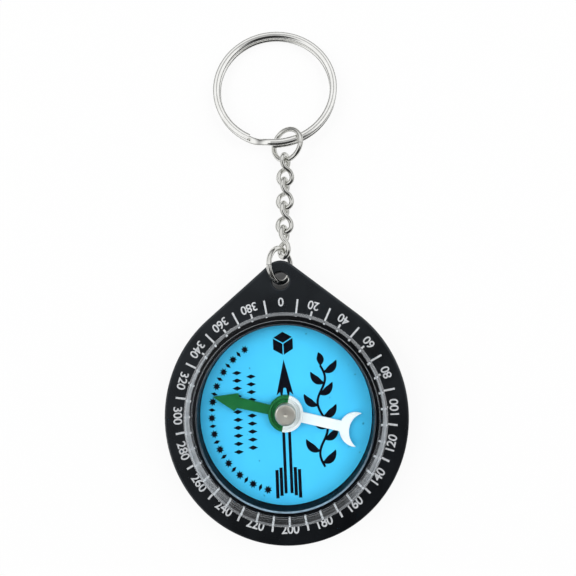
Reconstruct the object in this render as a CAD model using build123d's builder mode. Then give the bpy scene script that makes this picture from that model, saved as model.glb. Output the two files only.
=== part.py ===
from build123d import *
import os
from math import asin, cos, degrees, radians, sin, sqrt

# Keyring compass: a teardrop case, a blue dial, a needle under a clear crystal, and a
# twisted link chain that ends in a split key ring. It lies face up on its flat back.
# The origin is the middle of the back, under the needle's pivot, +Z points up through the
# face, and +Y points from the dial to the tab and the key ring. All sizes are in millimetres.

# Case: a teardrop plate on a round foot, with a collar that carries the crystal
case_radius = 21.4
case_set_back = 0.25
face_height = 5.0
plate_thickness = 2.2
plate_edge_round = 0.4
foot_radius = 18.5
foot_edge_round = 0.6
tab_reach = 26.5
tab_tip_radius = 3.3
tab_hole_radius = 1.6
tab_hole_land = 2.15
tab_hole_edge_round = 0.25
collar_radius = 15.65
collar_wall = 0.8
collar_edge_round = 0.15

# Crystal: a clear cap with a skirt round the collar
crystal_height = 4.0
crystal_wall = 1.35
crystal_top_thickness = 1.0
crystal_edge_round = 0.6
crystal_side_clearance = 0.1
crystal_top_clearance = 0.1

# Dial: a printed disc inside the collar
dial_thickness = 0.5
dial_edge_clearance = 0.1
dial_hole_clearance = 0.1

# Pivot pin: a steel point pressed into the plate
pin_radius = 0.45
pin_seat_depth = 1.4
pin_tip_height = 2.3
pin_point_length = 1.0
pin_tip_radius = 0.08

# Needle: a flat pointer, arrow at one end and crescent at the other
needle_bearing = 165.5
needle_float = 0.45
pointer_thickness = 0.4
hub_radius = 3.0
hub_rim_width = 0.5
hub_rim_height = 0.2
arrow_length = 12.86
arrow_barb_reach = 8.66
arrow_barb_half_width = 1.49
arrow_neck_reach = 8.3
arrow_neck_half_width = 0.86
arrow_root_half_width = 0.72
crescent_arm_half_width = 0.84
crescent_back_reach = 9.35
crescent_hollow_reach = 11.0
crescent_tip_reach = 12.6
crescent_half_width = 2.75

# Bearing cap: the cup that is riveted through the hub and turns on the pin
cap_radius = 1.8
cap_height = 1.4
cap_edge_round = 0.35
cap_neck_radius = 1.3
cap_rivet_radius = 1.7
cap_rivet_thickness = 0.15
cap_cup_mouth_radius = 0.85
cap_cup_tip_radius = 0.12
cap_cup_tip_gap = 0.04
cap_dimple_radius = 0.35
cap_dimple_depth = 0.15

# Jump rings: round wire with a narrow seam
jump_wire = 1.0
jump_radius = 3.2
jump_seam = 0.08
lower_ring_lean = 54.0
lower_ring_set_back = 0.3
lower_ring_hook_angle = 40.0
upper_ring_heading = 9.0
upper_ring_tilt = 34.0

# Chain links: round wire loops, each twisted so that its two ends face different ways
link_wire = 0.95
link_width = 3.6
link_length = 6.85
link_far_rolls = [-25.0, -20.0, -20.0, -25.0]
link_near_rolls = [-50.0, -8.0, -8.0, -8.0]
chain_heading = 2.5
chain_side_step = 0.07
chain_drop_share = 0.65
chain_clearance = 0.14
floor_clearance = 0.02

# Split key ring: flattened wire wound twice, stepping down between its two ends
split_diameter = 25.0
split_band_width = 1.45
split_band_height = 0.7
split_layer_gap = 0.42
split_heading = -10.0
split_inset = 0.65
split_drop = 0.2
split_end_angle = 232.0
split_step_angle = 20.0
split_end_margin = 2.0
split_probe_count = 400
split_probe_apart = 12.0

# Heights that follow from the sizes above
plate_bottom = face_height - plate_thickness
plate_middle = face_height - plate_thickness / 2
crystal_top = face_height + crystal_height
crystal_ceiling = crystal_top - crystal_top_thickness
collar_top = crystal_ceiling - crystal_top_clearance
dial_top = face_height + dial_thickness
pointer_bottom = dial_top + needle_float
pointer_top = pointer_bottom + pointer_thickness
cap_top = pointer_top + cap_height
cap_bottom = pointer_bottom - cap_rivet_thickness
pin_tip = face_height + pin_tip_height

# Radii and places that follow from the sizes above
collar_inside = collar_radius - collar_wall
crystal_inside = collar_radius + crystal_side_clearance
crystal_radius = crystal_inside + crystal_wall
dial_radius = collar_inside - dial_edge_clearance
tab_tip_centre = tab_reach - tab_tip_radius
tab_hole_y = tab_reach - tab_hole_land - tab_hole_radius

up = Vector(0, 0, 1)
north = Vector(0, 1, 0)


def towards(heading, drop=0.0):
    """Unit direction at a heading, clockwise from north, that falls by drop per unit."""
    level = sqrt(1 - drop**2)
    return Vector(sin(radians(heading)) * level, cos(radians(heading)) * level, -drop)


def save(piece, label):
    """Name a finished piece and write its file."""
    piece.part.label = label
    export_step(piece.part, f"parts/{label}.step")


os.makedirs("parts", exist_ok=True)

# Case body
with BuildPart() as case_body:
    with BuildSketch(Plane.XY.offset(plate_bottom)):
        with Locations((0, -case_set_back)):
            Circle(case_radius)
        with Locations((0, tab_tip_centre)):
            Circle(tab_tip_radius)
        make_hull()
    extrude(amount=plate_thickness)
    rims = case_body.edges().group_by(Axis.Z)
    fillet(rims[0] + rims[-1], plate_edge_round)
    with BuildSketch(Plane.XY.offset(plate_bottom)):
        Circle(foot_radius)
    extrude(amount=-plate_bottom)
    fillet(case_body.edges().group_by(Axis.Z)[0], foot_edge_round)
    with BuildSketch(Plane.XY.offset(face_height)):
        Circle(collar_radius)
        Circle(collar_inside, mode=Mode.SUBTRACT)
    extrude(amount=collar_top - face_height)
    fillet(case_body.edges().group_by(Axis.Z)[-1], collar_edge_round)
    with Locations((0, tab_hole_y, face_height)):
        Hole(tab_hole_radius, depth=face_height)
    hole_rims = case_body.edges().filter_by(GeomType.CIRCLE)
    hole_rims = hole_rims.filter_by(lambda rim: abs(rim.radius - tab_hole_radius) < tab_hole_edge_round)
    fillet(hole_rims.group_by(Axis.Z)[-1], tab_hole_edge_round)
    with Locations((0, 0, face_height)):
        Hole(pin_radius, depth=pin_seat_depth)
save(case_body, "case_body")

# Dial
with BuildPart() as dial_disc:
    with BuildSketch(Plane.XY.offset(face_height)):
        Circle(dial_radius)
        Circle(pin_radius + dial_hole_clearance, mode=Mode.SUBTRACT)
    extrude(amount=dial_thickness)
save(dial_disc, "dial_disc")

# Pivot pin
with BuildPart() as pivot_pin:
    with BuildSketch(Plane.XZ):
        with BuildLine():
            Polyline(
                (0, face_height - pin_seat_depth),
                (pin_radius, face_height - pin_seat_depth),
                (pin_radius, pin_tip - pin_point_length),
                (pin_tip_radius, pin_tip),
                (0, pin_tip),
                close=True,
            )
        make_face()
    revolve(axis=Axis.Z)
save(pivot_pin, "pivot_pin")

# Needle pointer, drawn with the arrow along its own X axis
needle_plane = Plane(
    origin=(0, 0, pointer_bottom),
    x_dir=(cos(radians(needle_bearing)), sin(radians(needle_bearing)), 0),
    z_dir=(0, 0, 1),
)
with BuildPart() as needle_pointer:
    with BuildSketch(needle_plane):
        with BuildLine():
            Polyline(
                (0, arrow_root_half_width),
                (arrow_neck_reach, arrow_neck_half_width),
                (arrow_barb_reach, arrow_barb_half_width),
                (arrow_length, 0),
                (arrow_barb_reach, -arrow_barb_half_width),
                (arrow_neck_reach, -arrow_neck_half_width),
                (0, -arrow_root_half_width),
                close=True,
            )
        make_face()
        with Locations((-crescent_back_reach / 2, 0)):
            Rectangle(crescent_back_reach + crescent_arm_half_width, 2 * crescent_arm_half_width)
        with BuildLine():
            crescent_tips = (
                (-crescent_tip_reach, crescent_half_width),
                (-crescent_tip_reach, -crescent_half_width),
            )
            ThreePointArc(crescent_tips[0], (-crescent_back_reach, 0), crescent_tips[1])
            ThreePointArc(crescent_tips[0], (-crescent_hollow_reach, 0), crescent_tips[1])
        make_face()
        Circle(hub_radius)
        Circle(cap_neck_radius, mode=Mode.SUBTRACT)
    extrude(amount=pointer_thickness)
    with BuildSketch(needle_plane.offset(pointer_thickness)):
        Circle(hub_radius)
        Circle(hub_radius - hub_rim_width, mode=Mode.SUBTRACT)
    extrude(amount=hub_rim_height)
save(needle_pointer, "needle_pointer")

# Bearing cap
with BuildPart() as bearing_cap:
    with BuildSketch(Plane.XZ):
        with BuildLine():
            Polyline(
                (cap_cup_mouth_radius, cap_bottom),
                (cap_rivet_radius, cap_bottom),
                (cap_rivet_radius, pointer_bottom),
                (cap_neck_radius, pointer_bottom),
                (cap_neck_radius, pointer_top),
                (cap_radius, pointer_top),
                (cap_radius, cap_top),
                (cap_dimple_radius, cap_top),
                (0, cap_top - cap_dimple_depth),
                (0, pin_tip + cap_cup_tip_gap),
                (cap_cup_tip_radius, pin_tip + cap_cup_tip_gap),
                close=True,
            )
        make_face()
    revolve(axis=Axis.Z)
    crown = bearing_cap.edges().filter_by(GeomType.CIRCLE).group_by(Axis.Z)[-1]
    fillet(crown.sort_by(SortBy.RADIUS)[-1], cap_edge_round)
save(bearing_cap, "bearing_cap")

# Crystal
with BuildPart() as crystal:
    with BuildSketch(Plane.XZ):
        with BuildLine():
            Polyline(
                (crystal_inside, face_height),
                (crystal_radius, face_height),
                (crystal_radius, crystal_top),
                (0, crystal_top),
                (0, crystal_ceiling),
                (crystal_inside, crystal_ceiling),
                close=True,
            )
        make_face()
    revolve(axis=Axis.Z)
    fillet(crystal.edges().filter_by(GeomType.CIRCLE).group_by(Axis.Z)[-1], crystal_edge_round)
save(crystal, "crystal")


def jump_ring(label, centre, first, second):
    """Round wire ring in the plane of two directions, with its seam at the first one."""
    seam_angle = degrees(jump_seam / jump_radius)
    with BuildPart() as ring:
        with BuildSketch(Plane(origin=centre + first * jump_radius, x_dir=first, z_dir=second)):
            Circle(jump_wire / 2)
        revolve(axis=Axis(centre, first.cross(second)), revolution_arc=360 - seam_angle)
    save(ring, label)


# Lower jump ring: it hangs in the tab's hole and leans over, with its left side up
lean = radians(lower_ring_lean)
hook = radians(lower_ring_hook_angle)
lower_centre = Vector(0, tab_hole_y - lower_ring_set_back + jump_radius, plate_middle)
lower_across = Vector(cos(lean), 0, -sin(lean))
hook_out = north * cos(hook) + lower_across * sin(hook)
hook_along = lower_across * cos(hook) - north * sin(hook)
hook_point = lower_centre + hook_out * jump_radius
jump_ring("lower_jump_ring", lower_centre, lower_across * -1, north)

# Chain: each link is the line from its near bar to its far bar, and its roll
link_half_width = (link_width - link_wire) / 2
link_reach = link_length - link_wire
link_step = link_wire + chain_clearance
hook_step = (link_wire + jump_wire) / 2 + chain_clearance


def link_axes(axis, far_roll, near_roll):
    """Directions across a link's far end and across its near end."""
    side = axis.cross(up).normalized()
    rise = side.cross(axis)
    far_turn = radians(far_roll)
    near_turn = radians(near_roll)
    return (
        rise * cos(far_turn) + side * sin(far_turn),
        side * cos(near_turn) - rise * sin(near_turn),
    )


def chain_link(label, near_bar, axis, far_across, near_across):
    """Wire loop whose far end is twisted against its near end."""
    far_centre = near_bar + axis * (link_reach - link_half_width)
    near_centre = near_bar + axis * link_half_width
    far_ends = [far_centre + far_across * link_half_width * sign for sign in (1, -1)]
    near_ends = [near_centre + near_across * link_half_width * sign for sign in (1, -1)]
    waists = [(far + near) / 2 for far, near in zip(far_ends, near_ends)]
    halves = ((far_ends, near_bar + axis * link_reach, axis * -1), (near_ends, near_bar, axis))
    with BuildPart() as link:
        for ends, tip, inward in halves:
            with BuildLine(mode=Mode.PRIVATE) as half:
                TangentArc(ends[0], waists[0], tangent=inward)
                ThreePointArc(ends[0], tip, ends[1])
                TangentArc(ends[1], waists[1], tangent=inward)
            wire = half.wire()
            with BuildSketch(Plane(origin=wire @ 0, z_dir=wire % 0)):
                Circle(link_wire / 2)
            sweep(path=wire)
    save(link, label)


# The chain comes down from the lower ring over two links, lies on one, and rises on the last
link_reach_down = link_half_width * max(cos(radians(roll)) for roll in link_far_rolls)
chain_level = link_reach_down + link_wire / 2 + floor_clearance
upper_level = jump_radius * sin(radians(upper_ring_tilt)) + jump_wire / 2 + floor_clearance

near_bars = [hook_point - hook_out * hook_step]
fall = near_bars[0].Z - chain_level
link_lines = [towards(chain_heading, fall * chain_drop_share / link_reach)]
far_bars = [near_bars[0] + link_lines[0] * link_reach]


def hang_on(far_bar, previous, following, step):
    """Place of the next bar, one step inside the last one and a little to its right."""
    inward = (previous + following).normalized()
    return far_bar - inward * step + inward.cross(up) * chain_side_step


for level in (chain_level, chain_level, upper_level):
    drop = (far_bars[-1].Z - level) / (link_reach - link_step)
    line = towards(chain_heading, drop)
    near_bars.append(hang_on(far_bars[-1], link_lines[-1], line, link_step))
    link_lines.append(towards(chain_heading, (near_bars[-1].Z - level) / link_reach))
    far_bars.append(near_bars[-1] + link_lines[-1] * link_reach)

link_ends = [
    link_axes(line, far_roll, near_roll)
    for line, far_roll, near_roll in zip(link_lines, link_far_rolls, link_near_rolls)
]
for index, (near_bar, line, ends) in enumerate(zip(near_bars, link_lines, link_ends), start=1):
    chain_link(f"chain_link_{index}", near_bar, line, *ends)

# Upper jump ring: it lies with its left side on the floor and its right side up
upper_line = towards(upper_ring_heading)
upper_tilt = radians(upper_ring_tilt)
upper_across = upper_line.cross(up) * cos(upper_tilt) + up * sin(upper_tilt)
upper_hook = hang_on(far_bars[-1], link_lines[-1], upper_line, hook_step)
upper_hook += up * (upper_level - upper_hook.Z)
upper_centre = upper_hook + upper_line * jump_radius
jump_ring("upper_jump_ring", upper_centre, upper_across, upper_line)

# Split key ring: it leans on the upper ring and touches the floor at its far side
split_radius = (split_diameter - split_band_width) / 2
split_layer = (split_band_height + split_layer_gap) / 2
split_pierce = upper_centre + upper_line * split_inset - up * split_drop
split_depth = split_layer + split_band_height / 2
split_span = 2 * split_radius + (split_band_width - split_band_height) / 2
split_slope = asin((split_pierce.Z - split_depth - floor_clearance) / split_span)
split_line = towards(split_heading, sin(split_slope))
split_side = towards(split_heading).cross(up)
split_plane = Plane(
    origin=split_pierce + split_line * split_radius,
    x_dir=split_side,
    z_dir=split_side.cross(split_line),
)


def on_split(angle, layer):
    """Point of the ring's middle line at an angle, on the upper or the lower layer."""
    turn = radians(angle)
    return split_plane.from_local_coords(
        Vector(split_radius * cos(turn), split_radius * sin(turn), split_layer * layer)
    )


def along_split(angle):
    """Clockwise direction of the ring's middle line at an angle."""
    turn = radians(angle)
    return split_plane.x_dir * sin(turn) - split_plane.y_dir * cos(turn)


# The step from the upper layer to the lower one is two arcs that meet with one tangent
step_start = split_end_angle + split_end_margin + split_step_angle
step_end = split_end_angle + split_end_margin
step_points = (on_split(step_start, 1), on_split(step_end, -1))
step_tangents = (along_split(step_start), along_split(step_end))
step_chord = step_points[1] - step_points[0]
step_sum = step_tangents[0] + step_tangents[1]
spread = 2 * (1 - step_tangents[0].dot(step_tangents[1]))
pull = step_chord.dot(step_sum)
reach = (sqrt(pull**2 + spread * step_chord.dot(step_chord)) - pull) / spread
step_middle = (step_points[0] + step_points[1] + (step_tangents[0] - step_tangents[1]) * reach) / 2

turn_angle = 360 - split_step_angle - split_end_margin
with BuildPart() as split_key_ring:
    with BuildLine(mode=Mode.PRIVATE) as coil:
        with BuildLine(split_plane.offset(split_layer)):
            CenterArc((0, 0), split_radius, step_start - 360, turn_angle)
        TangentArc(step_points[0], step_middle, tangent=step_tangents[0])
        TangentArc(step_points[1], step_middle, tangent=step_tangents[1] * -1)
        with BuildLine(split_plane.offset(-split_layer)):
            CenterArc((0, 0), split_radius, step_end - turn_angle, turn_angle)
    coil_wire = coil.wire()
    coil_start = Plane(
        origin=coil_wire @ 0,
        x_dir=split_plane.z_dir.cross(coil_wire % 0),
        z_dir=coil_wire % 0,
    )
    with BuildSketch(coil_start):
        Ellipse(split_band_width / 2, split_band_height / 2)
    sweep(path=coil_wire)
save(split_key_ring, "split_key_ring")

# Least gap of the coil to itself, on points of its middle line
probes = [coil_wire @ (index / split_probe_count) for index in range(split_probe_count + 1)]
stride = coil_wire.length / split_probe_count
skip = int(split_probe_apart / stride)
least = min(
    (probes[first] - probes[second]).length
    for first in range(len(probes))
    for second in range(first + skip, len(probes))
)
print(f"split ring length {coil_wire.length:.2f}, least gap to itself {least - split_band_height:.2f}")

# Hinge lines of the chain
hinges = [
    ("lower_jump_ring", lower_centre, north),
    ("chain_link_1", hook_point, hook_along),
    ("chain_link_2", far_bars[0], link_ends[0][0]),
    ("chain_link_3", near_bars[2], link_ends[2][1]),
    ("chain_link_4", far_bars[2], link_ends[2][0]),
    ("upper_jump_ring", upper_hook, upper_across),
    ("split_key_ring", split_pierce, split_side),
]
for label, place, line in hinges:
    print(
        f"hinge {label} at ({place.X:.4f}, {place.Y:.4f}, {place.Z:.4f})"
        f" along ({line.X:.5f}, {line.Y:.5f}, {line.Z:.5f})"
    )
print(f"split ring centre {tuple(round(value, 3) for value in split_plane.origin)}")
print(f"split ring normal {tuple(round(value, 5) for value in split_plane.z_dir)}")
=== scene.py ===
from math import cos, pi, radians, sin

import bmesh
import bpy
from mathutils import Matrix, Vector


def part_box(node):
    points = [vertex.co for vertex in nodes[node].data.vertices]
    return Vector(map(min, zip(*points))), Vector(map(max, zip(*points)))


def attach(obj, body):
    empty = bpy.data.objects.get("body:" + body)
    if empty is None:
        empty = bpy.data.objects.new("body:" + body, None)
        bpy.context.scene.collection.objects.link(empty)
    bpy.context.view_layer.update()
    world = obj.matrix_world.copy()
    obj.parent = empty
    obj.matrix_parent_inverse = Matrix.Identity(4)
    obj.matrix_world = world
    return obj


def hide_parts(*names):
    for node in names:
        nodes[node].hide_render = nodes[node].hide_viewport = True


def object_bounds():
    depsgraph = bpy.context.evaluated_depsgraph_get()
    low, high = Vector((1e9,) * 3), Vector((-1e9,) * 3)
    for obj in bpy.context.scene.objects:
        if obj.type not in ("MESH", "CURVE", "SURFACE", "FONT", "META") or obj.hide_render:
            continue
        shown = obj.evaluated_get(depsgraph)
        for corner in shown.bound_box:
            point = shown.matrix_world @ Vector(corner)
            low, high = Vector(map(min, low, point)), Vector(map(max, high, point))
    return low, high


# Keyring compass seen from above on a white table. Sizes are in millimetres and angles in
# degrees unless a comment says otherwise; MM turns millimetres into the metres of the frame.
MM = 0.001

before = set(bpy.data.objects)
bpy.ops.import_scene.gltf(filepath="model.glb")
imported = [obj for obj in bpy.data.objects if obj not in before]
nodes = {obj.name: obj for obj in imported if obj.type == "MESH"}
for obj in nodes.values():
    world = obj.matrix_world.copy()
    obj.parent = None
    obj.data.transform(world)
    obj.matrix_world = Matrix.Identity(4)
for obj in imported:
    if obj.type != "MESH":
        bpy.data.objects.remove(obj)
cad_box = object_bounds()

# Heights and radii that are read from the frame
face_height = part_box("crystal")[0].z / MM
dial_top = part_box("dial_disc")[1].z / MM
crystal_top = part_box("crystal")[1].z / MM
crystal_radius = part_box("crystal")[1].x / MM

# Collar and crystal, as the part has them, with a hair of room under the skirt
collar_top = 7.9
collar_inside = 14.85
collar_edge_round = 0.15
crystal_wall = 1.35
crystal_plate = 1.0
crystal_edge_round = 0.6
crystal_seat = 0.03
crystal_ceiling = crystal_top - crystal_plate
skirt_bottom = face_height + crystal_seat
skirt_inside = crystal_radius - crystal_wall

# Camera
camera_place = (3.443, 17.994, 89.01)
camera_turn = (8.802, 1.542, -2.585)
camera_sensor = 36.0
photo_pixels = 576
photo_focal_pixels = 460
photo_centre_row = 235
camera_near = 1.0
camera_far = 20000

# Ink
ink_thickness = 0.015
ink_lift = 0.004


# Node helpers

def new_material(name):
    """Empty node material with an output, a Principled shader and object coordinates."""
    material = bpy.data.materials.new(name)
    material.use_nodes = True
    tree = material.node_tree
    tree.nodes.clear()
    output = tree.nodes.new("ShaderNodeOutputMaterial")
    shader = tree.nodes.new("ShaderNodeBsdfPrincipled")
    tree.links.new(shader.outputs["BSDF"], output.inputs["Surface"])
    place = tree.nodes.new("ShaderNodeTexCoord").outputs["Object"]
    return material, tree, shader, place


def noise(tree, place, size, detail=2.0):
    """Noise whose grains are about size millimetres across."""
    node = tree.nodes.new("ShaderNodeTexNoise")
    node.inputs["Scale"].default_value = 1 / (size * MM)
    node.inputs["Detail"].default_value = detail
    tree.links.new(place, node.inputs["Vector"])
    return node.outputs["Fac"]


def ramp(tree, value, low, high, start, end):
    """Value mapped from low..high to start..end, held at both ends."""
    node = tree.nodes.new("ShaderNodeMapRange")
    node.inputs["From Min"].default_value = low
    node.inputs["From Max"].default_value = high
    node.inputs["To Min"].default_value = start
    node.inputs["To Max"].default_value = end
    tree.links.new(value, node.inputs["Value"])
    return node.outputs["Result"]


def ramp_mm(tree, value, low, high, start, end):
    """Ramp over a length, with low and high in millimetres."""
    return ramp(tree, value, low * MM, high * MM, start, end)


def mix(tree, share, first, second):
    """Colour between two colours, each a tuple or a socket."""
    node = tree.nodes.new("ShaderNodeMix")
    node.data_type = "RGBA"
    tree.links.new(share, node.inputs["Factor"])
    for colour, socket in ((first, node.inputs[6]), (second, node.inputs[7])):
        if isinstance(colour, tuple):
            socket.default_value = (*colour, 1)
        else:
            tree.links.new(colour, socket)
    return node.outputs[2]


def maths(tree, operation, first, second):
    """One maths step on two values, each a number or a socket."""
    node = tree.nodes.new("ShaderNodeMath")
    node.operation = operation
    for value, socket in ((first, node.inputs[0]), (second, node.inputs[1])):
        if isinstance(value, (int, float)):
            socket.default_value = value
        else:
            tree.links.new(value, socket)
    return node.outputs[0]


def times(tree, first, *others):
    """Product of several values, each a number or a socket."""
    for value in others:
        first = maths(tree, "MULTIPLY", first, value)
    return first


def bump(tree, shader, height, depth):
    """Surface relief of about depth millimetres."""
    node = tree.nodes.new("ShaderNodeBump")
    node.inputs["Strength"].default_value = 1.0
    node.inputs["Distance"].default_value = depth * MM
    tree.links.new(height, node.inputs["Height"])
    tree.links.new(node.outputs["Normal"], shader.inputs["Normal"])


def radius_of(tree, place):
    """Distance of a point from the upright line through the origin, in metres."""
    flat = tree.nodes.new("ShaderNodeVectorMath")
    flat.operation = "MULTIPLY"
    flat.inputs[1].default_value = (1, 1, 0)
    tree.links.new(place, flat.inputs[0])
    length = tree.nodes.new("ShaderNodeVectorMath")
    length.operation = "LENGTH"
    tree.links.new(flat.outputs["Vector"], length.inputs[0])
    return length.outputs["Value"]


def along(tree, place, direction):
    """How far a point lies in a direction, in metres."""
    node = tree.nodes.new("ShaderNodeVectorMath")
    node.operation = "DOT_PRODUCT"
    node.inputs[1].default_value = direction
    tree.links.new(place, node.inputs[0])
    return node.outputs["Value"]


def surface_of(tree):
    """Socket of a material's surface."""
    return next(node for node in tree.nodes if node.type == "OUTPUT_MATERIAL").inputs["Surface"]


def blend_shaders(tree, share, first, second):
    """Mix of two shaders by a share."""
    node = tree.nodes.new("ShaderNodeMixShader")
    tree.links.new(share, node.inputs["Fac"])
    tree.links.new(first, node.inputs[1])
    tree.links.new(second, node.inputs[2])
    return node.outputs["Shader"]


# Materials

# Widths over which a finish fades out, and the skin of a wall that carries one
soft_fade = 0.1
skin = 0.05
skin_fade = 0.03

open_gloss = 0.75
shaded_gloss = 0.02
edge_gloss = 0.5
edge_margin = 0.02


def case_plastic():
    """Satin black moulding with a fine spark-eroded grain, dull in the shade of the crystal."""
    material, tree, shader, place = new_material("case_plastic")
    cloud = noise(tree, place, 6.0, 3.0)
    share = ramp(tree, cloud, 0.35, 0.65, 0, 1)
    tone = mix(tree, share, (0.0016, 0.0018, 0.0026), (0.0028, 0.0032, 0.0044))
    tree.links.new(tone, shader.inputs["Base Color"])
    tree.links.new(ramp(tree, cloud, 0.3, 0.7, 0.25, 0.33), shader.inputs["Roughness"])
    shader.inputs["Specular Tint"].default_value = (0.80, 0.91, 1.0, 1)
    radius = radius_of(tree, place)
    height = along(tree, place, (0, 0, 1))
    outside = ramp_mm(tree, radius, crystal_radius - soft_fade, crystal_radius, shaded_gloss, open_gloss)
    edge_low = collar_top - collar_edge_round
    edge_end = collar_inside + collar_edge_round + edge_margin
    edge = times(
        tree,
        ramp_mm(tree, height, edge_low - skin, edge_low, 0, edge_gloss),
        ramp_mm(tree, radius, edge_end, edge_end + skin_fade, 1, 0),
    )
    tree.links.new(maths(tree, "MAXIMUM", outside, edge), shader.inputs["Specular IOR Level"])
    bump(tree, shader, noise(tree, place, 0.12, 3.0), 0.003)
    return material


def dial_print():
    """Sky blue print with a faint mottle and a few specks."""
    material, tree, shader, place = new_material("dial_print")
    cloud = ramp(tree, noise(tree, place, 9.0, 2.0), 0.3, 0.7, 0, 1)
    tone = mix(tree, cloud, (0.063, 0.555, 0.925), (0.071, 0.605, 0.955))
    specks = ramp(tree, noise(tree, place, 0.9, 0.0), 0.80, 0.84, 0, 0.6)
    tone = mix(tree, specks, tone, (0.01, 0.10, 0.22))
    tree.links.new(tone, shader.inputs["Base Color"])
    shader.inputs["Roughness"].default_value = 0.5
    shader.inputs["Specular IOR Level"].default_value = 0.1
    bump(tree, shader, noise(tree, place, 0.2, 2.0), 0.002)
    return material


needle_bearing = 165.5
hub_groove = 0.42
hub_grooves_end = 2.95
hub_groove_depth = 0.05


def needle_paint():
    """Green paint on the arrow's half and white paint on the crescent's half."""
    material, tree, shader, place = new_material("needle_paint")
    arrow = (cos(radians(needle_bearing)), sin(radians(needle_bearing)), 0)
    side = ramp_mm(tree, along(tree, place, arrow), -skin_fade, skin_fade, 0, 1)
    cloud = ramp(tree, noise(tree, place, 2.0, 2.0), 0.3, 0.7, 0, 1)
    white = mix(tree, cloud, (0.80, 0.86, 0.86), (0.86, 0.90, 0.90))
    green = mix(tree, cloud, (0.009, 0.120, 0.032), (0.012, 0.145, 0.038))
    tree.links.new(mix(tree, side, white, green), shader.inputs["Base Color"])
    shader.inputs["Roughness"].default_value = 0.32
    shader.inputs["Specular IOR Level"].default_value = 0.1
    radius = radius_of(tree, place)
    grooves = maths(tree, "SINE", times(tree, radius, 2 * pi / (hub_groove * MM)), 0)
    hub = ramp_mm(tree, radius, hub_grooves_end, hub_grooves_end + skin, 1, 0)
    bump(tree, shader, times(tree, grooves, hub), hub_groove_depth)
    return material


def plated_metal(name, dull, bright, rough_low, rough_high):
    """Plated metal with soft clouds in its polish and fine handling marks."""
    material, tree, shader, place = new_material(name)
    cloud = noise(tree, place, 1.5, 3.0)
    share = ramp(tree, cloud, 0.3, 0.7, 0, 1)
    tree.links.new(mix(tree, share, dull, bright), shader.inputs["Base Color"])
    shader.inputs["Metallic"].default_value = 1.0
    tree.links.new(ramp(tree, cloud, 0.3, 0.7, rough_low, rough_high), shader.inputs["Roughness"])
    bump(tree, shader, noise(tree, place, 0.15, 2.0), 0.002)
    return material


rim_haze = 0.27
rim_drop = 0.15
corner_haze = 0.24
corner_height = 0.18
side_glint_haze = 0.5
foot_haze_least = 0.02
side_glint_start = 9.0
side_glint_end = 15.0
foot_width = 0.65
foot_fade = 0.2


def haze_share(tree, place):
    """How matt the crystal is: on its rounded rim, in its inner corner and under its skirt, where the
    share grows towards east and west as a painted side glint.
    """
    height = along(tree, place, (0, 0, 1))
    radius = radius_of(tree, place)
    rim_start = crystal_radius - crystal_edge_round
    rim_low = crystal_top - crystal_edge_round
    rim = times(
        tree,
        ramp_mm(tree, radius, rim_start, rim_start + soft_fade, 0, rim_haze),
        ramp_mm(tree, height, rim_low - rim_drop, rim_low, 0, 1),
    )
    corner_low = crystal_ceiling - corner_height
    corner = times(
        tree,
        ramp_mm(tree, radius, skirt_inside - skin, skirt_inside - skin + skin_fade, 0, corner_haze),
        ramp_mm(tree, radius, skirt_inside + skin - skin_fade, skirt_inside + skin, 1, 0),
        ramp_mm(tree, height, corner_low, corner_low + soft_fade, 0, 1),
    )
    foot_top = skirt_bottom + skin
    foot_start = crystal_radius - foot_width
    sideways = maths(tree, "ABSOLUTE", along(tree, place, (1, 0, 0)), 0)
    # painted highlight: the foot's matt share rises towards east and west, where the side lamps' glints
    # show
    foot_and_side_glint = times(
        tree,
        ramp_mm(tree, sideways, side_glint_start, side_glint_end, foot_haze_least, side_glint_haze),
        ramp_mm(tree, radius, foot_start, foot_start + foot_fade, 0, 1),
        ramp_mm(tree, height, foot_top, foot_top + skin_fade, 1, 0),
    )
    return maths(tree, "MAXIMUM", maths(tree, "MAXIMUM", rim, corner), foot_and_side_glint)


def crystal_clear():
    """Clear acrylic that lets shadow rays through, matt on its rim and edges and where it is cemented,
    with a painted glint where its foot turns paler towards east and west.
    """
    material, tree, shader, place = new_material("crystal_clear")
    shader.inputs["Base Color"].default_value = (0.97, 0.985, 0.99, 1)
    shader.inputs["Transmission Weight"].default_value = 1.0
    shader.inputs["IOR"].default_value = 1.49
    shader.inputs["Roughness"].default_value = 0.0
    haze = tree.nodes.new("ShaderNodeBsdfDiffuse")
    haze.inputs["Color"].default_value = (0.64, 0.68, 0.72, 1)
    worn = ramp(tree, noise(tree, place, 1.2, 3.0), 0.3, 0.7, 0.8, 1.1)
    share = times(tree, haze_share(tree, place), worn)
    glass = blend_shaders(tree, share, shader.outputs["BSDF"], haze.outputs["BSDF"])
    clear = tree.nodes.new("ShaderNodeBsdfTransparent")
    clear.inputs["Color"].default_value = (0.95, 0.96, 0.97, 1)
    ray = tree.nodes.new("ShaderNodeLightPath")
    whole = blend_shaders(tree, ray.outputs["Is Shadow Ray"], glass, clear.outputs["BSDF"])
    tree.links.new(whole, surface_of(tree))
    return material


south_highlight_start = 4.0
south_highlight_end = 14.0


def cement():
    """Thin cement bead, dark, with a pale painted highlight that grows towards the south."""
    material, tree, shader, place = new_material("crystal_cement_highlight")
    # painted highlight: the bead's colour turns pale towards the south, where a bright edge line shows
    south_highlight = ramp_mm(tree, along(tree, place, (0, -1, 0)), south_highlight_start, south_highlight_end, 0, 1)
    cloud = ramp(tree, noise(tree, place, 0.6, 3.0), 0.3, 0.7, 0.6, 1)
    tone = mix(tree, times(tree, south_highlight, cloud), (0.02, 0.03, 0.04), (0.28, 0.40, 0.50))
    tree.links.new(tone, shader.inputs["Base Color"])
    shader.inputs["Roughness"].default_value = 0.3
    return material


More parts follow.
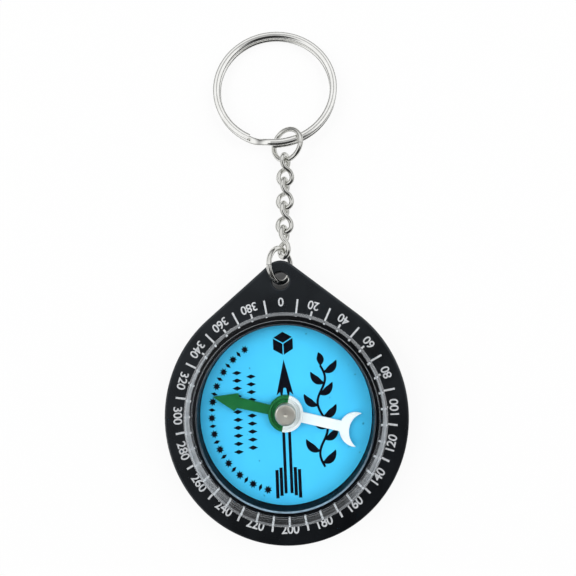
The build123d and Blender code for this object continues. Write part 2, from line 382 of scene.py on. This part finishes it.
def ink(name, colour, worn):
    """Screen ink, a little thinner in places."""
    material, tree, shader, place = new_material(name)
    cloud = ramp(tree, noise(tree, place, 0.5, 3.0), 0.35, 0.65, 0, 1)
    tree.links.new(mix(tree, cloud, worn, colour), shader.inputs["Base Color"])
    shader.inputs["Roughness"].default_value = 0.5
    shader.inputs["Specular IOR Level"].default_value = 0.05
    return material


ring_metal = plated_metal("ring_metal", (0.82, 0.82, 0.795), (0.90, 0.90, 0.88), 0.05, 0.12)
chain_metal = plated_metal("chain_metal", (0.66, 0.66, 0.63), (0.80, 0.80, 0.77), 0.06, 0.15)
cap_metal = plated_metal("cap_metal", (0.55, 0.51, 0.45), (0.66, 0.615, 0.545), 0.42, 0.54)
pin_metal = plated_metal("pin_steel", (0.45, 0.45, 0.45), (0.55, 0.55, 0.55), 0.25, 0.35)
white_ink = ink("white_ink", (0.66, 0.68, 0.70), (0.52, 0.54, 0.56))
black_ink = ink("black_ink", (0.001, 0.0015, 0.005), (0.002, 0.003, 0.008))

node_materials = {
    "case_body": case_plastic(),
    "dial_disc": dial_print(),
    "needle_pointer": needle_paint(),
    "bearing_cap": cap_metal,
    "pivot_pin": pin_metal,
    "split_key_ring": ring_metal,
}
for name, node in nodes.items():
    node.data.materials.clear()
    node.data.materials.append(node_materials.get(name, chain_metal))


# Crystal: the same cap, turned with smooth walls
turn_steps = 192
weld_distance = 0.0005
round_steps = 8
sharp_angle = 35


def turned_solid(name, profile):
    """Mesh of a profile of radii and heights in millimetres, turned about Z."""
    mesh = bmesh.new()
    angles = [2 * pi * step / turn_steps for step in range(turn_steps)]
    rings = []
    for radius, height in profile:
        if radius == 0:
            rings.append([mesh.verts.new((0, 0, height * MM))] * turn_steps)
            continue
        ring = [(radius * MM * cos(angle), radius * MM * sin(angle), height * MM) for angle in angles]
        rings.append([mesh.verts.new(corner) for corner in ring])
    for first, second in zip(rings, rings[1:]):
        for step in range(turn_steps):
            after = (step + 1) % turn_steps
            corners = (first[step], first[after], second[after], second[step])
            mesh.faces.new(list(dict.fromkeys(corners))).smooth = True
    bmesh.ops.remove_doubles(mesh, verts=mesh.verts[:], dist=weld_distance * MM)
    bmesh.ops.recalc_face_normals(mesh, faces=mesh.faces[:])
    for edge in mesh.edges:
        edge.smooth = edge.calc_face_angle() < radians(sharp_angle)
    data = bpy.data.meshes.new(name)
    mesh.to_mesh(data)
    mesh.free()
    return data


crystal_profile = [(0, crystal_top)]
for step in range(round_steps + 1):
    turn = pi / 2 * step / round_steps
    crystal_profile.append((
        crystal_radius - crystal_edge_round * (1 - sin(turn)),
        crystal_top - crystal_edge_round * (1 - cos(turn)),
    ))
crystal_profile += [(crystal_radius, skirt_bottom), (skirt_inside, skirt_bottom)]
crystal_profile += [(skirt_inside, crystal_ceiling), (0, crystal_ceiling)]


# Prints: flat shapes of ink, each a thin slab on the surface that carries it

def ink_piece(name, outlines, height, material, body):
    """Slabs of ink over closed outlines, on a surface at a height, all in millimetres."""
    mesh = bmesh.new()
    for outline in outlines:
        corners = [mesh.verts.new((x * MM, y * MM, (height + ink_lift) * MM)) for x, y in outline]
        face = mesh.faces.new(corners)
        face.normal_update()
        if face.normal.z < 0:
            face.normal_flip()
    faces = bmesh.ops.extrude_face_region(mesh, geom=mesh.faces[:])
    raised = [item for item in faces["geom"] if isinstance(item, bmesh.types.BMVert)]
    bmesh.ops.translate(mesh, verts=raised, vec=(0, 0, ink_thickness * MM))
    bmesh.ops.recalc_face_normals(mesh, faces=mesh.faces[:])
    data = bpy.data.meshes.new(name)
    mesh.to_mesh(data)
    mesh.free()
    return finish_piece(name, data, material, body)


def finish_piece(name, data, material, body):
    """Object that rides on a body and takes its finish from a slot."""
    piece = bpy.data.objects.new(name, data)
    bpy.context.scene.collection.objects.link(piece)
    data.materials.append(material)
    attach(piece, body)
    return piece


cap_mesh = turned_solid("crystal_cap", crystal_profile)
cap = finish_piece("crystal_cap", cap_mesh, crystal_clear(), "case")
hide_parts("crystal")

# Cement: a flat bead in the gap between the collar's inner edge and the crystal, with a painted highlight
# on its south side
bead_radius = 15.0
bead_half_width = 0.14
bead_half_height = 0.04
bead_height = (collar_top + crystal_ceiling) / 2
bead_profile = []
for step in range(round_steps + 1):
    turn = 2 * pi * step / round_steps
    bead_profile.append((
        bead_radius + bead_half_width * cos(turn),
        bead_height + bead_half_height * sin(turn),
    ))
bead_mesh = turned_solid("crystal_cement_highlight", bead_profile)
finish_piece("crystal_cement_highlight", bead_mesh, cement(), "case")


def polar(radius, angle):
    """Point at a radius and an angle clockwise from the tab."""
    return (radius * sin(radians(angle)), radius * cos(radians(angle)))


# Scale of 400 parts round the case
scale_parts = 400
scale_step = 10
tick_width = 0.33
tick_inner = 16.35
long_tick_outer = 19.5
short_tick_outer = 17.85
number_radius = 18.9
number_height = 1.55
number_weight = 0.012
number_spacing = 0.95
number_extrude = 0.01
scale_shift = Vector((-0.08, 0.01))


def tick(part):
    """Corners of one tick; ticks between the numbers are longer."""
    outer = short_tick_outer if part % (2 * scale_step) == 0 else long_tick_outer
    turn = part * 360 / scale_parts
    half = tick_width / 2
    out = Vector(polar(1, turn))
    side = Vector((out.y, -out.x))
    corners = ((tick_inner, -1), (outer, -1), (outer, 1), (tick_inner, 1))
    return [scale_shift + out * reach + side * half * sign for reach, sign in corners]


ticks = [tick(part) for part in range(scale_step, scale_parts, scale_step)]
ink_piece("scale_ticks", ticks, face_height, white_ink, "case")


def number_mesh(text, height):
    """Mesh of a number, centred on the origin, with digits of a height in millimetres."""
    curve = bpy.data.curves.new("number", "FONT")
    curve.body = text
    curve.align_x = "CENTER"
    curve.align_y = "CENTER"
    curve.space_character = number_spacing
    curve.fill_mode = "BOTH"
    curve.extrude = number_extrude
    curve.offset = number_weight
    holder = bpy.data.objects.new("number", curve)
    bpy.context.scene.collection.objects.link(holder)
    bpy.context.view_layer.update()
    data = bpy.data.meshes.new_from_object(holder.evaluated_get(bpy.context.evaluated_depsgraph_get()))
    bpy.data.objects.remove(holder)
    bpy.data.curves.remove(curve)
    low = Vector([min(vertex.co[axis] for vertex in data.vertices) for axis in range(3)])
    high = Vector([max(vertex.co[axis] for vertex in data.vertices) for axis in range(3)])
    size = height * MM / (high.y - low.y)
    middle = (low + high) / 2
    thickness = ink_thickness * MM / (high.z - low.z)
    data.transform(Matrix.Diagonal((size, size, thickness, 1)) @ Matrix.Translation(-middle))
    return data


numbers = bmesh.new()
for part in range(0, scale_parts, 2 * scale_step):
    digits = number_mesh(str(part), number_height)
    turn = part * 360 / scale_parts
    x, y = scale_shift + Vector(polar(number_radius, turn))
    place = Vector((x, y, face_height + ink_lift + ink_thickness / 2)) * MM
    digits.transform(Matrix.Translation(place) @ Matrix.Rotation(radians(180 - turn), 4, "Z"))
    numbers.from_mesh(digits)
    bpy.data.meshes.remove(digits)
number_data = bpy.data.meshes.new("scale_numbers")
numbers.to_mesh(number_data)
numbers.free()
finish_piece("scale_numbers", number_data, white_ink, "case")

# Cube mark: three faces of a cube seen from a corner, with thin gaps between them
cube_y = 11.6
cube_radius = 2.0
cube_gap = 0.055


def cube_face(turn):
    """One of the three rhombic faces, drawn in from its neighbours by the gap."""
    corners = [Vector((0, 0))]
    for angle in (turn, turn + 60, turn + 120):
        corners.append(Vector((cube_radius * cos(radians(angle)), cube_radius * sin(radians(angle)))))
    shift = Vector((cos(radians(turn + 60)), sin(radians(turn + 60)))) * cube_gap * 2
    return [corner * (1 - cube_gap) + shift + Vector((0, cube_y)) for corner in corners]


cube_faces = [cube_face(turn) for turn in (30, 150, 270)]
ink_piece("cube_mark", cube_faces, dial_top, black_ink, "case")

# Direction arrow: a split head, two lines of shaft and four of fletching
head_tip = 8.87
head_outline = [(0, 0), (1.45, 6.0), (0.85, 5.45), (0.72, 6.2), (0.45, 6.2), (0.25, 4.9), (0, 4.75)]
head = [(x, head_tip - drop) for x, drop in head_outline]
arrow_lines = [(0.5, -2.75, -12.92, 0.5), (1.2, -8.85, -13.28, 0.54), (1.9, -9.2, -13.66, 0.54)]
arrow_shapes = [head, [(-x, y) for x, y in head]]
for x, top, bottom, width in arrow_lines:
    for side in (-1, 1):
        left = side * x - width / 2
        right = side * x + width / 2
        arrow_shapes.append([(left, top), (right, top), (right, bottom), (left, bottom)])
ink_piece("direction_arrow", arrow_shapes, dial_top, black_ink, "case")


# Ornament: stars and lozenges round the left edge, two rows of lozenges, and a leafy vine on the right

def star(centre, reach, turn, rays=8, depth=0.55):
    """Star of pointed rays."""
    corners = []
    for step in range(2 * rays):
        length = reach if step % 2 == 0 else reach * depth
        angle = radians(turn + step * 180 / rays)
        corners.append((centre[0] + length * cos(angle), centre[1] + length * sin(angle)))
    return corners


def lozenge(centre, half_length, half_width, turn):
    """Lozenge with its long way at an angle from +X."""
    long_way = Vector((cos(radians(turn)), sin(radians(turn))))
    short_way = Vector((-long_way.y, long_way.x))
    middle = Vector(centre)
    return [middle + long_way * half_length, middle + short_way * half_width,
            middle - long_way * half_length, middle - short_way * half_width]


def brush(points, widths):
    """Outline of a stroke along points, with a half width at each point."""
    left, right = [], []
    for index, point in enumerate(points):
        before = points[max(index - 1, 0)]
        after = points[min(index + 1, len(points) - 1)]
        way = (after - before).normalized()
        side = Vector((-way.y, way.x)) * widths[index]
        left.append(point + side)
        right.append(point - side)
    return left + right[::-1]


band_radius = 12.75
band_start = 122
band_end = 258
band_step = 6
star_reach = 0.72
band_lozenge = (0.62, 0.3)
edge_band = []
for index, angle in enumerate(range(band_start, band_end, band_step)):
    place = (band_radius * cos(radians(angle)), band_radius * sin(radians(angle)))
    if index % 2 == 0:
        edge_band.append(star(place, star_reach, angle))
    else:
        edge_band.append(lozenge(place, *band_lozenge, angle))
ink_piece("edge_ornament", edge_band, dial_top, black_ink, "case")

row_step = 1.3
row_lozenge = (0.85, 0.36)
row_places = ((-5.8, 6.2, 10), (-8.25, 6.9, 11))
rows = []
for x, top, count in row_places:
    for index in range(count):
        rows.append(lozenge((x, top - row_step * index), *row_lozenge, 0))
ink_piece("row_ornament", rows, dial_top, black_ink, "case")

vine_x = 6.3
vine_top = 7.6
vine_bottom = -9.0
vine_waves = 2.0
vine_swing = 0.75
stem_half_width = 0.2
stem_steps = 48
leaf_count = 9
leaf_start = 0.6
leaf_bend = (1.6, 0.1)
leaf_tip = (2.3, 1.9)
top_leaf_bend = (0.3, 1.0)
top_leaf_tip = (-0.2, 2.2)
leaf_half_width = 0.62
leaf_blunt = 0.04
leaf_steps = 12


def vine_point(share):
    """Point of the vine's stem, from its top to its bottom."""
    wave = sin(2 * pi * vine_waves * share)
    return Vector((vine_x + vine_swing * wave, vine_top + (vine_bottom - vine_top) * share))


def leaf(root, bend, tip):
    """Pointed leaf along a bent line from its root to its tip."""
    shares = [step / leaf_steps for step in range(leaf_steps + 1)]
    line = [root * (1 - t) ** 2 + bend * 2 * t * (1 - t) + tip * t**2 for t in shares]
    swell = [sin(pi * (leaf_blunt + (1 - 2 * leaf_blunt) * t)) for t in shares]
    return brush(line, [leaf_half_width * share for share in swell])


stem = [vine_point(step / stem_steps) for step in range(stem_steps + 1)]
vine = [brush(stem, [stem_half_width] * len(stem))]
vine.append(leaf(stem[0], stem[0] + Vector(top_leaf_bend), stem[0] + Vector(top_leaf_tip)))
for index in range(leaf_count):
    side = 1 if index % 2 == 0 else -1
    root = vine_point((index + leaf_start) / leaf_count)
    bend, tip = (root + Vector((side * x, y)) for x, y in (leaf_bend, leaf_tip))
    vine.append(leaf(root, bend, tip))
ink_piece("vine_ornament", vine, dial_top, black_ink, "case")


# Stage: floor, lights, camera

floor_glow = 0.9
mirror_glow = 0.4
tab_shade = (0, 22.95, 0)
tab_shade_inner = 2.0
tab_shade_outer = 3.2
floor_size = 4.0  # metres


def floor_material():
    """White table that glows to the camera and to mirrors, except in the shade under the tab, where its
    colour is also darkened into a painted shadow.
    """
    material, tree, shader, place = new_material("floor_white")
    shader.inputs["Roughness"].default_value = 0.8
    glow = tree.nodes.new("ShaderNodeEmission")
    glow.inputs["Strength"].default_value = 1.0
    ray = tree.nodes.new("ShaderNodeLightPath")
    mirrored = times(tree, ray.outputs["Is Glossy Ray"], mirror_glow)
    seen = maths(tree, "MAXIMUM", ray.outputs["Is Camera Ray"], ray.outputs["Is Transmission Ray"])
    seen = maths(tree, "MAXIMUM", seen, mirrored)
    shift = tree.nodes.new("ShaderNodeVectorMath")
    shift.operation = "SUBTRACT"
    shift.inputs[1].default_value = Vector(tab_shade) * MM
    tree.links.new(place, shift.inputs[0])
    from_tab = radius_of(tree, shift.outputs["Vector"])
    open_floor = ramp_mm(tree, from_tab, tab_shade_inner, tab_shade_outer, 0, 1)
    # painted shadow: the floor's own colour is darkened under the tab hole
    tone = mix(tree, open_floor, (0.25, 0.25, 0.25), (0.9, 0.9, 0.9))
    tree.links.new(tone, shader.inputs["Base Color"])
    share = times(tree, seen, floor_glow, open_floor)
    floor_shader = blend_shaders(tree, share, shader.outputs["BSDF"], glow.outputs["Emission"])
    tree.links.new(floor_shader, surface_of(tree))
    return material


bpy.ops.mesh.primitive_plane_add(size=floor_size, location=(0, 0, 0))
floor = bpy.context.object
floor.name = "floor"
floor.data.materials.append(floor_material())


# Lamps, placed in metres
part_middle = (cad_box[0] + cad_box[1]) / 2
lamp_aside = 0.51
lamp_north = 0.08
lamp_height = 0.40
lamp_size = (0.50, 0.70)
lamp_radiance = 1.65


def softbox(name, place, size, radiance):
    """Area light of an even radiance that faces the part; mirrors show the tent in its place."""
    light = bpy.data.lights.new(name, "AREA")
    light.shape = "RECTANGLE"
    light.size, light.size_y = size
    light.energy = 4 * size[0] * size[1] * radiance
    lamp = bpy.data.objects.new(name, light)
    bpy.context.scene.collection.objects.link(lamp)
    lamp.visible_glossy = False
    lamp.location = place
    lamp.rotation_euler = (part_middle - Vector(place)).to_track_quat("-Z", "Y").to_euler()


softbox("west_light", (-lamp_aside, lamp_north, lamp_height), lamp_size, lamp_radiance)
softbox("east_light", (lamp_aside, lamp_north, lamp_height), lamp_size, lamp_radiance)

# Light tent: bright cloth, dim near the table, with a dark opening over the dial, a small dim
# gap to the north and a dark curtain to the south-east; the camera itself sees plain white
tent_bright = 1.05
tent_low = 0.04
tent_low_height = 0.10
tent_bright_height = 0.70
opening_line = (0.0, -0.24, 0.97)
opening_core = 17
opening_edge = 28
opening_dark = 0.03
gap_half_width = 0.08
gap_fade = 0.08
gap_line = (0.0, 0.41, 0.91)
gap_core = 10
gap_edge = 15
gap_darkness = 0.55
curtain_line = (0.42, -0.90, 0.0)
curtain_start = 0.25
curtain_end = 0.60
curtain_dark = 0.06
world = bpy.data.worlds.new("studio")
bpy.context.scene.world = world
world.use_nodes = True
sky = world.node_tree
backdrop = sky.nodes["Background"]
backdrop.inputs["Color"].default_value = (1, 1, 1, 1)
view_line = sky.nodes.new("ShaderNodeTexCoord").outputs["Generated"]


def sky_cone(line, edge, core, start, end):
    """Ramp from the edge to the core of a cone of directions, whose angles are in degrees."""
    return ramp(sky, along(sky, view_line, line), cos(radians(edge)), cos(radians(core)), start, end)


upward = along(sky, view_line, (0, 0, 1))
cloth = ramp(sky, upward, tent_low_height, tent_bright_height, tent_low, tent_bright)
opening = sky_cone(opening_line, opening_edge, opening_core, 1, opening_dark)
off_line = maths(sky, "ABSOLUTE", along(sky, view_line, (1, 0, 0)), 0)
gap_across = ramp(sky, off_line, gap_half_width, gap_half_width + gap_fade, 1, 0)
gap_along = sky_cone(gap_line, gap_edge, gap_core, 0, gap_darkness)
gap = maths(sky, "SUBTRACT", 1, times(sky, gap_across, gap_along))
curtain = ramp(sky, along(sky, view_line, curtain_line), curtain_start, curtain_end, 1, curtain_dark)
tent = times(sky, cloth, opening, gap, curtain)
seen = sky.nodes.new("ShaderNodeLightPath").outputs["Is Camera Ray"]
sky.links.new(maths(sky, "MAXIMUM", tent, seen), backdrop.inputs["Strength"])

camera_data = bpy.data.cameras.new("camera")
camera_data.sensor_width = camera_sensor
camera_data.lens = camera_sensor * photo_focal_pixels / photo_pixels
camera_data.shift_y = (photo_centre_row - photo_pixels / 2) / photo_pixels
camera_data.clip_start = camera_near * MM
camera_data.clip_end = camera_far * MM
camera = bpy.data.objects.new("camera", camera_data)
bpy.context.scene.collection.objects.link(camera)
camera.location = Vector(camera_place) * MM
camera.rotation_euler = [radians(turn) for turn in camera_turn]
bpy.context.scene.camera = camera
bpy.context.scene.view_settings.view_transform = "Standard"
